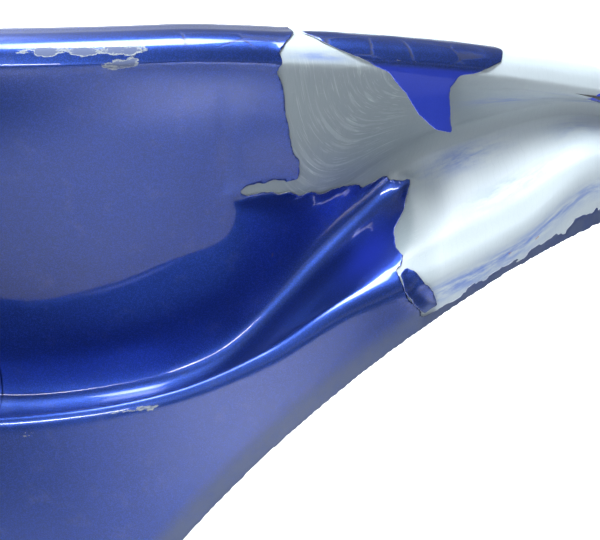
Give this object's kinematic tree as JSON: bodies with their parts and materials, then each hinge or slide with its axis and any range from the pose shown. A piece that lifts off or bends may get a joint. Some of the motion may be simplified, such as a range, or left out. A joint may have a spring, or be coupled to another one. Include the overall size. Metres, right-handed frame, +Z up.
{
  "type": "bumper cover",
  "caption": "Front bumper cover for a car: painted thin skin with recessed corners, wheel-arch edges, lower intake, corner inlets, plate carrier and tow-eye cap.",
  "frame": {"origin": "centre of the bounding box in X and Y, on the lowest edge", "axes": "+Z up, -Y towards the front of the car, +X towards the car's left"},
  "size_m": [1.72, 0.6405, 0.6475],
  "materials": {
    "paint": "metallic royal blue with clear coat",
    "black_plastic": "grained black moulding",
    "gloss_black": "gloss black trim",
    "lip_rubber": "flexible black strip",
    "screw_steel": "zinc plated"
  },
  "bodies": {
    "cover": {"bumper_cover": "paint", "nose_retainer": "black_plastic", "left_lamp_support": "black_plastic", "right_lamp_support": "black_plastic", "left_wing_retainer": "black_plastic", "right_wing_retainer": "black_plastic", "mouth_frame": "gloss_black", "mouth_slats": "black_plastic", "left_duct_bezel": "gloss_black", "right_duct_bezel": "gloss_black", "left_duct_mesh": "black_plastic", "right_duct_mesh": "black_plastic", "tow_eye_sleeve": "black_plastic", "plate_holder": "black_plastic", "plate_screws": "screw_steel", "lower_lip": "lip_rubber", "lip_rivets": "black_plastic", "nose_clips": "black_plastic", "lamp_clips": "black_plastic", "wing_screws": "screw_steel", "arch_liner_clips": "black_plastic"},
    "tow_cap": {"tow_eye_cover": "paint"}
  },
  "joints": [
    {"name": "tow_cap_pull", "type": "slide", "parent": "cover", "child": "tow_cap", "axis": [0.3017, -0.9534, 0], "range_m": [0, 0.018]}
  ]
}
